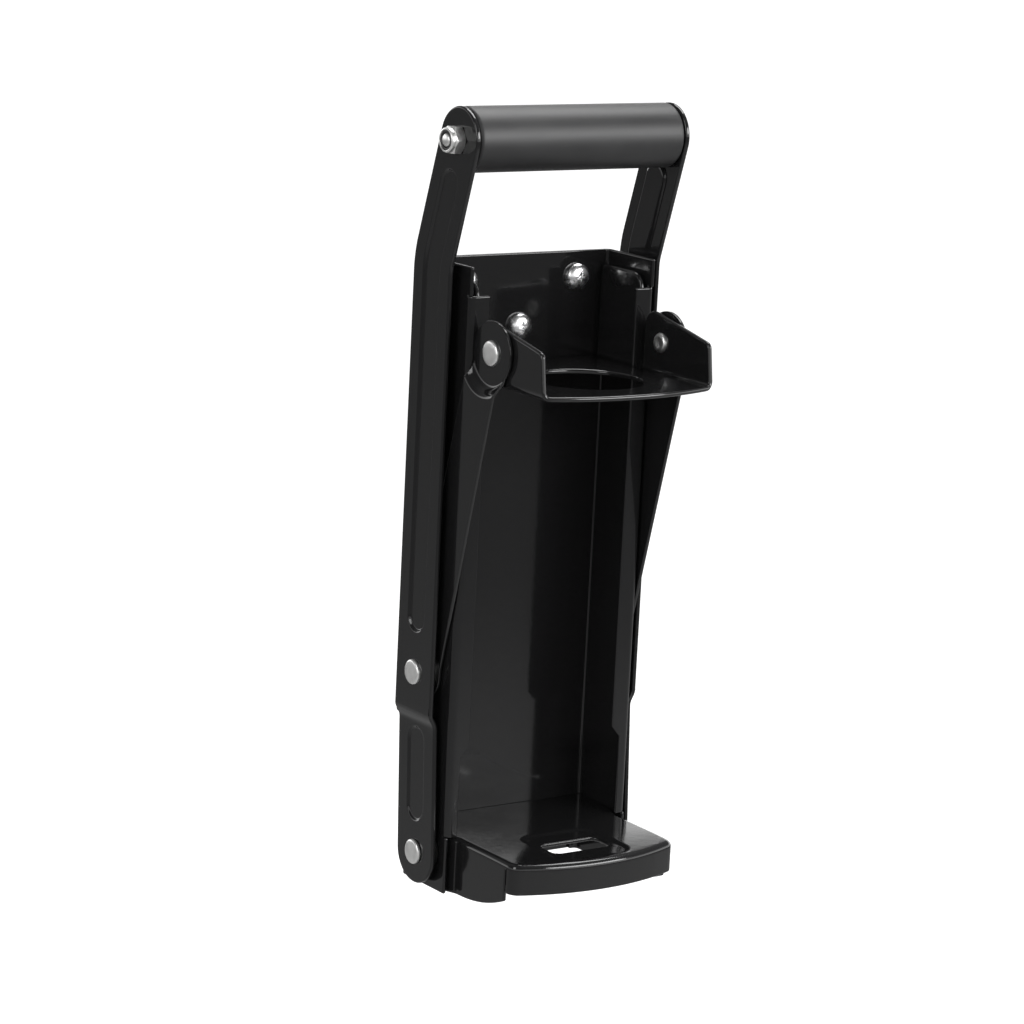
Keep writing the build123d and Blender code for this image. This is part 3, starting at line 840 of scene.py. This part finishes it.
def make_arm():
    """The strip's outline is filled round its beads, joggled, given its sheet and drilled."""
    knee, elbow = Vector((ARM_LINE_Y, JOGGLE_Z)), Vector((ARM_LINE_Y, ARM_BEND_Z))
    half = BEAD_WIDTH / 2
    high_bead = [
        Vector((ARM_LINE_Y, MID_PIN[1] + BEAD_ABOVE_MID + half)), elbow,
        along(HANDLE, elbow, BEAD_END + half),
    ]
    low_bead = [along(FOOT_PIN, knee, BEAD_END + half), along(knee, FOOT_PIN, LOW_BEAD_TOP + half)]
    piece = start_point("arm_right", (ARM_OUTER, 0, 0))
    bpy.ops.mesh.delete(type="VERT")
    press_bead(ARM_OUTER, high_bead, half, HIGH_BEAD_DEPTH)
    press_bead(ARM_OUTER, low_bead, half, LOW_BEAD_DEPTH)
    draw_strip(ARM_OUTER, [Vector(FOOT_PIN), knee, elbow, Vector(HANDLE)], ARM_HALF)
    fill_between(ARM_OUTER)

    steps = 7
    levels = [JOGGLE_Z + (JOGGLE_RISE + 0.8) * (0.5 - i / steps) for i in range(steps + 1)]
    for level in levels:
        bpy.ops.mesh.select_all(action="SELECT")
        bpy.ops.mesh.bisect(plane_co=(0, 0, level * MM), plane_no=(0, 0, 1))
    for index, level in enumerate(levels[1:]):
        pick("VERT", lambda c, v: c.z < level + 0.01)
        shift = ease((index + 1) / steps) - ease(index / steps)
        bpy.ops.transform.translate(value=(-ARM_JOGGLE * shift * MM, 0, 0))
    face_to(piece, (1, 0, 0))
    merge_flats(piece)
    open_up(piece)
    for level in (levels[0] + 3, levels[-1] - 3):
        bpy.ops.mesh.select_all(action="SELECT")
        bpy.ops.mesh.bisect(plane_co=(0, 0, level * MM), plane_no=(0, 0, 1))
    close_up()
    sheet(piece, ARM_SHEET)
    lower_inner = ARM_OUTER - ARM_JOGGLE - ARM_SHEET
    open_up(piece)
    pick("VERT", lambda c, v: c.x < lower_inner and c.z < JOGGLE_Z)
    bpy.ops.transform.resize(value=(0, 1, 1), center_override=(lower_inner * MM, 0, 0))
    pick("FACE", lambda c, f: abs(c.x - lower_inner) < 0.01 and c.z < JOGGLE_Z)
    bpy.ops.mesh.delete(type="FACE")
    pick("EDGE", lambda c, e: is_edge_of_sheet(e))
    bpy.ops.mesh.edge_face_add()
    close_up()
    for pin, radius in ((FOOT_PIN, FOOT_BORE), (MID_PIN, PIN_BORE), (HANDLE, PIN_BORE)):
        cut(piece, rod(radius, 14, (48, *pin), "X", 40))
    soften(piece, ARM_EDGE, 4)
    finish(piece, ENAMEL, "lever", "enamel", "lever_arm_right")
    finish(twin(piece, "arm_left"), ENAMEL, "lever", "enamel", "lever_arm_left")


def ease(share):
    """0 at 0 and 1 at 1, with a soft start and end."""
    return share * share * (3 - 2 * share)


make_arm()


# ------------------------------------------------------------------ links
def link_blank():
    """The link's outline, drawn upright from its middle pin, made solid and leaned."""
    body, eye, pad, neck = 10.25, 11.0, 12.3, 14.0
    x = PAD_INNER - 2.4

    def neck_join(radius):
        """How far from the pin the neck begins, and its turn in degrees."""
        reach = math.sqrt((radius + neck) ** 2 - (body + neck) ** 2)
        return reach, math.degrees(math.atan2(reach, body + neck))

    eye_join, eye_turn = neck_join(eye)
    pad_join, pad_turn = neck_join(pad)
    straight = LINK_LENGTH - eye_join - pad_join
    axis = (1, 0, 0)
    piece = start_point("link_blank", (x, body, eye_join))
    run(z=straight)
    bend((x, body + neck, LINK_LENGTH - pad_join), axis, -pad_turn, 4)
    bend((x, 0, LINK_LENGTH), axis, 180 + 2 * pad_turn, 32)
    bend((x, -body - neck, LINK_LENGTH - pad_join), axis, -pad_turn, 4)
    run(z=-straight)
    bend((x, -body - neck, eye_join), axis, -eye_turn, 3)
    bend((x, 0, 0), axis, 180 + 2 * eye_turn, 28)
    bend((x, body + neck, eye_join), axis, -eye_turn, 3)
    bpy.ops.mesh.select_all(action="SELECT")
    bpy.ops.mesh.remove_doubles(threshold=0.00001)
    bpy.ops.mesh.edge_face_add()
    run(x=10)
    close_up()
    outward(piece)
    piece.rotation_euler = (LINK_LEAN, 0, 0)
    piece.location = Vector((0, *MID_PIN)) * MM
    settle(piece)
    return piece


def make_link():
    """A plate pressed round the ear pin, cut to the link's outline and drilled."""
    steps, ramp_start, ramp_width, plate_radius = 10, 12.2, 5.2, 160
    ramp = [
        (PAD_INNER + (LINK_INNER - PAD_INNER) * ease(i / steps),
         ramp_start + ramp_width * i / steps)
        for i in range(steps + 1)
    ]
    profile = [(PAD_INNER, 0)] + ramp + [(LINK_INNER, plate_radius)]
    profile += [(x + LINK_SHEET, radius) for x, radius in reversed(profile)]
    piece = turned("link_arm_right", EAR_PIN, profile, 96)
    keep_inside(piece, link_blank())
    merge_flats(piece)
    cut(piece, rod(LINK_EYE_BORE, 6, (45, *MID_PIN), "X", 40))
    cut(piece, rod(PIN_BORE, 8, (41, *EAR_PIN), "X", 40))
    soften(piece, LINK_EDGE, 4)
    finish(piece, ENAMEL, "links", "enamel", "link_right")
    finish(twin(piece, "link_arm_left"), ENAMEL, "links", "enamel", "link_left")


make_link()


# ------------------------------------------------------------------ rivets
def rivet_head(seat, radius, rise):
    """Outline of a flat round head from its seat to its crown."""
    marks = [(0, 1.0), (0.35, 1.0), (0.62, 0.975), (0.84, 0.91), (0.94, 0.8), (0.985, 0.5), (1, 0)]
    return [(seat + rise * a, radius * r) for a, r in marks]


def make_rivets():
    """Each profile runs from the tail to the head, as (X, radius)."""
    head = (5.0, 1.4)
    shank, foot_shank = PIN_BORE - 0.05, FOOT_BORE - 0.05
    foot_tail = list(reversed(rivet_head(40.5, 5.0, -1.0)))
    ear_tail = [(37.05, 0), (36.95, 1.2), (36.6, 2.1), (36.55, 2.7), (36.8, 3.4), (37.4, 3.85),
                (38.0, 3.9), (38.0, shank), (40.0, shank), (40.0, 0)]
    rivets = [
        ("foot_rivet", FOOT_PIN, "frame",
         foot_tail + [(40.5, foot_shank), (48.1, foot_shank)] + rivet_head(48.1, *head)),
        ("mid_rivet", MID_PIN, "lever",
         [(43.9, 0), (43.9, 4.3), (45.2, shank), (50.0, shank)] + rivet_head(50.0, *head)),
        ("ear_rivet", EAR_PIN, "links",
         [(PAD_INNER, 0), (PAD_INNER, shank), (41.9, shank)] + rivet_head(41.9, *head)),
        ("ear_rivet_tail", EAR_PIN, "plunger", ear_tail),
    ]
    for name, pin, body, profile in rivets:
        piece = turned(f"{name}_head_right", pin, profile)
        smooth(piece, 40)
        finish(piece, ZINC, body, "zinc", f"{name}_right")
        left = twin(piece, f"{name}_head_left")
        finish(left, ZINC, body, "zinc", f"{name}_left")


make_rivets()


# ------------------------------------------------------------------ grip, bolt and nut
def make_grip():
    half, radius, bore, edge = 47.7, 12.7, 9.6, 1.5
    quarter = [math.radians(15 * i) for i in range(7)]
    profile = [(-half, bore), (-half, radius - edge)]
    profile += [(-half + edge - edge * math.cos(t), radius - edge + edge * math.sin(t))
                for t in quarter[1:]]
    profile += [(x, radius) for x in (-30, -10, 10, 30)]
    profile += [(half - edge + edge * math.sin(t), radius - edge + edge * math.cos(t))
                for t in quarter]
    profile += [(half, bore), (0, bore), (-half, bore)]
    piece = turned("grip", HANDLE, profile, 96)
    soften(piece, 0.3, 2, 60)
    finish(piece, GRIP, "lever", "grip", "grip_sleeve")


def add_thread(name, start, end, place, core, crest, pitch):
    """A wound V thread from a place along X, sunk a little into its shank."""
    sunk = 0.25
    rise, flat, fall = 0.45 * pitch, 0.12 * pitch, 0.40 * pitch
    piece = start_point(name, (0, core - sunk, 0))
    run(x=rise, y=crest - core + sunk)
    run(x=flat)
    run(x=fall, y=core - crest - sunk)
    run(x=-rise - flat - fall)
    bpy.ops.mesh.select_all(action="SELECT")
    bpy.ops.mesh.remove_doubles(threshold=0.00001)
    close_up()
    only(piece)
    wind = piece.modifiers.new("wind", "SCREW")
    wind.axis = "X"
    wind.angle = math.tau
    wind.screw_offset = pitch * MM
    wind.iterations = round((end - start) / pitch)
    wind.steps = 24
    wind.render_steps = 24
    apply_all(piece)
    open_up(piece, "EDGE")
    pick("EDGE", lambda c, e: is_edge_of_sheet(e))
    bpy.ops.mesh.fill()
    close_up()
    outward(piece)
    piece.location = Vector(place) * MM
    settle(piece)
    return piece


def join(pieces, name):
    """Joins pieces into one mesh."""
    bpy.ops.object.select_all(action="DESELECT")
    for piece in pieces:
        piece.select_set(True)
    bpy.context.view_layer.objects.active = pieces[0]
    bpy.ops.object.join()
    pieces[0].name = pieces[0].data.name = name
    return pieces[0]


def hexagon(name, start, end, profile):
    """Hexagon bar on the handle's line, turned to a profile of (x, radius)."""
    bpy.ops.object.select_all(action="DESELECT")
    bpy.ops.mesh.primitive_cylinder_add(
        vertices=6, radius=HEX_RADIUS * MM, depth=abs(end - start) * MM,
        location=Vector(((start + end) / 2, *HANDLE)) * MM,
        rotation=(0, math.pi / 2, 0),
    )
    piece = bpy.context.object
    piece.name = piece.data.name = name
    settle(piece)
    keep_inside(piece, turned("lathe_shape", HANDLE, profile, 72))
    return piece


def make_bolt():
    """Hexagon head, washer face and a shank with a threaded end, as one piece."""
    seat, top, core, crest = ARM_OUTER, ARM_OUTER + 4.0, 2.75, 2.95
    tip, thread_end = -(ARM_OUTER + 6.0), -44.0
    head = hexagon("bolt_head", seat + 0.3, top, [
        (seat + 0.2, 0), (seat + 0.2, 5.1), (seat + 0.75, HEX_TURNED), (top - 0.75, HEX_TURNED),
        (top - 0.02, 4.75), (top - 0.02, 0),
    ])
    soften(head, 0.12, 2, 25, clamp=True)
    washer_face = turned("bolt_face", HANDLE, [
        (seat, 0), (seat, 4.7), (seat + 0.4, 4.7), (seat + 0.4, 0)
    ], 64)
    shank = turned("bolt_shank", HANDLE, [
        (tip, 0), (tip, 2.1), (tip + 0.7, core), (thread_end, core), (thread_end + 0.5, crest),
        (seat, crest), (seat + 0.3, crest), (seat + 0.3, 0),
    ], 48)
    thread = add_thread(
        "bolt_thread", tip + 0.6, thread_end - 0.5, (tip + 0.6, *HANDLE), core - 0.05, crest, 1.0
    )
    piece = join([head, washer_face, shank, thread], "long_bolt")
    smooth(piece, 35)
    finish(piece, ZINC, "lever", "zinc", "handle_bolt")


def make_nut():
    """Hexagon body and a rolled collar round a black insert."""
    seat, shoulder, end = -ARM_OUTER, -ARM_OUTER - 4.2, -ARM_OUTER - 6.0
    bore, groove = 3.0, 3.85
    body = hexagon("lock_nut", seat, shoulder, [
        (seat, 0), (seat, 4.9), (seat - 0.6, HEX_TURNED), (shoulder + 0.9, HEX_TURNED),
        (shoulder + 0.1, 4.9), (shoulder + 0.1, 0),
    ])
    cut(body, rod(bore, 20, (seat - 2, *HANDLE), "X", 48))
    soften(body, 0.15, 2, 25, clamp=True)
    collar = turned("nut_collar", HANDLE, [
        (shoulder + 0.3, bore), (shoulder + 0.3, 4.8), (end + 0.7, 4.8), (end + 0.25, 4.68),
        (end + 0.05, 4.45), (end, 4.2), (end + 0.12, 3.95), (end + 0.4, groove),
        (shoulder + 0.1, groove), (shoulder + 0.1, bore), (shoulder + 0.3, bore),
    ], 64)
    piece = join([body, collar], "lock_nut")
    smooth(piece, 35)
    finish(piece, ZINC, "lever", "zinc", "handle_nut")
    insert = turned("nut_insert", HANDLE, [
        (shoulder, bore), (shoulder, groove - 0.02), (end + 0.5, groove - 0.02),
        (end + 0.35, 3.6), (end + 0.35, 3.2), (end + 0.5, bore), (shoulder, bore),
    ], 64)
    smooth(insert, 40)
    finish(insert, GRIP, "lever", "grip")


make_grip()
make_bolt()
make_nut()


# ------------------------------------------------------------------ wall screws
def make_screw(index, x, z):
    """Pan head screw with a cross recess; its thread winds down to the point."""
    seat, head, rise, core, tip = -CHANNEL_SHEET, 5.5, 3.6, 1.85, 24.0
    crown = seat - rise
    dome = [(0.12, 1.0), (0.36, 0.975), (0.58, 0.89), (0.76, 0.74), (0.89, 0.54), (0.97, 0.29),
            (1.0, 0.0)]
    profile = [(tip, 0), (19.0, 1.7), (1.5, 1.9), (1.0, 2.55), (seat, 2.6), (seat, head)]
    profile += [(seat - rise * a, head * r) for a, r in dome]
    piece = turned(f"screw_{index}", (0, 0), profile, 64)
    for turn, taper in ((0, (1, 0.5, 0.7)), (math.pi / 2, (1, 0.7, 0.5))):
        bpy.ops.object.select_all(action="DESELECT")
        bpy.ops.mesh.primitive_cube_add(size=MM, location=Vector((crown, 0, 0)) * MM)
        slot = bpy.context.object
        slot.scale = (4.4, 5.0, 1.05)
        slot.rotation_euler = (turn, 0, 0)
        settle(slot)
        open_up(slot)
        pick("VERT", lambda c, v: c.x > crown + 1)
        bpy.ops.transform.resize(value=taper, center_override=Vector((crown, 0, 0)) * MM)
        close_up()
        cut(piece, slot)
    soften(piece, 0.12, 2, 45, clamp=True)
    thread = add_thread(f"thread_{index}", 1.6, 19.5, (1.6, 0, 0), core, 2.4, 1.7)
    piece = join([piece, thread], f"screw_{index}")
    piece.rotation_euler = (0, 0, math.pi / 2)
    piece.location = Vector((x, 0, z)) * MM
    settle(piece)
    return piece


def make_screws():
    screws = [make_screw(i, x, z) for i, (x, z) in enumerate(SCREW_PLACES)]
    piece = join(screws, "wall_screws")
    smooth(piece, 40)
    finish(piece, CHROME, "frame", "bright_screws", "mounting_screws")


make_screws()

# ------------------------------------------------------------------ plain carried nodes
def dress_node(name, material):
    """Gives a plain CAD node its finish."""
    node = frame["nodes"][name]
    node.data.materials.clear()
    node.data.materials.append(material)


for spacer in ("foot_spacer", "mid_spacer"):
    for hand in ("left", "right"):
        dress_node(f"{spacer}_{hand}", ZINC)
dress_node("handle_tube", TURNED)

# ------------------------------------------------------------------ camera and light
CAMERA_AZIMUTH, CAMERA_HEIGHT, CAMERA_ROLL = -34.73, 11.81, 2.84
FOCAL_PIXELS = 3660.0
CAMERA_DISTANCE = 1440.8
CAMERA_TARGET = Vector((-11.49, -20.0, 149.56))
FLOOR_Z, FLOOR_TONE, FLOOR_GLOW = -0.285, 0.38, 0.93
# Height of a direction over the horizon (0 to 1), and the room's tone there.
ROOM_TONES = [(0.0, 1.0), (0.23, 1.0), (0.38, 0.125), (0.62, 0.1), (0.8, 0.15), (1.0, 0.15)]
ROOM_STRENGTH = 2.3
DIM_SIDE = (-0.92, -0.39, 0)
DIM_SIDE_SHARE = 0.45


def make_camera():
    azimuth, height, roll = (
        math.radians(a) for a in (CAMERA_AZIMUTH, CAMERA_HEIGHT, CAMERA_ROLL)
    )
    out = Vector((
        math.sin(azimuth) * math.cos(height), -math.cos(azimuth) * math.cos(height),
        math.sin(height),
    ))
    right = (-out).cross(Vector((0, 0, 1))).normalized()
    up = right.cross(-out)
    turned_right = math.cos(roll) * right + math.sin(roll) * up
    turned_up = -math.sin(roll) * right + math.cos(roll) * up
    data = bpy.data.cameras.new("camera")
    data.sensor_width = 36.0
    data.sensor_fit = "HORIZONTAL"
    data.lens = FOCAL_PIXELS * 36.0 / PICTURE
    data.clip_end = 50.0
    camera = bpy.data.objects.new("camera", data)
    bpy.context.scene.collection.objects.link(camera)
    turn = Matrix((turned_right, turned_up, out)).transposed().to_4x4()
    place = (CAMERA_TARGET + out * CAMERA_DISTANCE) * MM
    camera.matrix_world = Matrix.Translation(place) @ turn
    bpy.context.scene.camera = camera


def softbox(name, place, aim_height, width, height, power):
    """A rectangular lamp, in metres and watts, that faces the object at a height."""
    data = bpy.data.lights.new(name, "AREA")
    data.shape = "RECTANGLE"
    data.size, data.size_y = width, height
    data.energy = power
    lamp = bpy.data.objects.new(name, data)
    bpy.context.scene.collection.objects.link(lamp)
    way = Vector((0, 0, aim_height)) - Vector(place)
    turn = way.to_track_quat("-Z", "Y").to_matrix().to_4x4()
    lamp.matrix_world = Matrix.Translation(Vector(place)) @ turn


def make_backdrop():
    """White for the camera; a pale room for light, with a side that is dim in gloss."""
    world = bpy.data.worlds.new("studio")
    bpy.context.scene.world = world
    world.use_nodes = True
    nodes = world.node_tree.nodes
    nodes.clear()
    out = add_node(nodes, "OutputWorld")
    choose = add_node(nodes, "MixShader")
    white = add_node(nodes, "Background", Strength=1.0, Color=(1, 1, 1, 1))
    room = add_node(nodes, "Background")
    path = add_node(nodes, "LightPath")
    way = add_node(nodes, "TexCoord")
    split = add_node(nodes, "SeparateXYZ")
    tone = add_node(nodes, "ValToRGB")
    ramp = tone.color_ramp.elements
    ramp[0].position, ramp[0].color = 0.0, (*[ROOM_TONES[0][1]] * 3, 1)
    ramp[1].position, ramp[1].color = 1.0, (*[ROOM_TONES[-1][1]] * 3, 1)
    for height, level in ROOM_TONES[1:-1]:
        ramp.new(height).color = (level, level, level, 1)
    flat = add_node(nodes, "VectorMath", "MULTIPLY")
    flat.inputs[1].default_value = (1, 1, 0)
    unit = add_node(nodes, "VectorMath", "NORMALIZE")
    side = add_node(nodes, "VectorMath", "DOT_PRODUCT")
    side.inputs[1].default_value = DIM_SIDE
    spread = add_node(nodes, "MapRange", From_Min=-0.1, From_Max=0.65)
    spread.interpolation_type = "SMOOTHSTEP"
    in_gloss = add_node(nodes, "Math", "MULTIPLY")
    shade = add_node(
        nodes, "MapRange", To_Min=ROOM_STRENGTH, To_Max=ROOM_STRENGTH * DIM_SIDE_SHARE
    )
    wire(
        world.node_tree.links,
        (way, "Generated", split, 0), (split, "Z", tone, "Fac"), (tone, "Color", room, "Color"),
        (way, "Generated", flat, 0), (flat, "Vector", unit, 0), (unit, "Vector", side, 0),
        (side, "Value", spread, "Value"), (spread, "Result", in_gloss, 0),
        (path, "Is Glossy Ray", in_gloss, 1), (in_gloss, "Value", shade, "Value"),
        (shade, "Result", room, "Strength"), (path, "Is Camera Ray", choose, 0),
        (room, 0, choose, 1), (white, 0, choose, 2), (choose, 0, out, "Surface"),
    )


def make_floor():
    """A pale floor that is white to the camera."""
    bpy.ops.object.select_all(action="DESELECT")
    bpy.ops.mesh.primitive_plane_add(size=40, location=(0, 0, FLOOR_Z))
    floor = bpy.context.object
    floor.name = "floor"
    settle(floor)
    material, nodes, links, shader = new_material("pale_floor")
    shader.inputs["Base Color"].default_value = (*[FLOOR_TONE] * 3, 1)
    shader.inputs["Roughness"].default_value = 1.0
    shader.inputs["Specular IOR Level"].default_value = 0.0
    glow = add_node(nodes, "Emission", Color=(*[FLOOR_GLOW] * 3, 1))
    path = add_node(nodes, "LightPath")
    both = add_node(nodes, "AddShader")
    wire(
        links,
        (path, "Is Camera Ray", glow, "Strength"), (shader, 0, both, 0), (glow, 0, both, 1),
        (both, 0, nodes["Material Output"], "Surface"),
    )
    floor.data.materials.append(material)


make_camera()
make_backdrop()
make_floor()
softbox("top_box", (0.45, 0.25, 1.35), 0.2, 0.9, 0.7, 15)
softbox("left_box", (-1.25, -0.52, 0.88), 0.2, 0.45, 0.9, 6)
softbox("right_box", (0.6, -1.15, 0.68), 0.15, 1.0, 0.42, 14)
bpy.context.scene.view_settings.view_transform = "Standard"
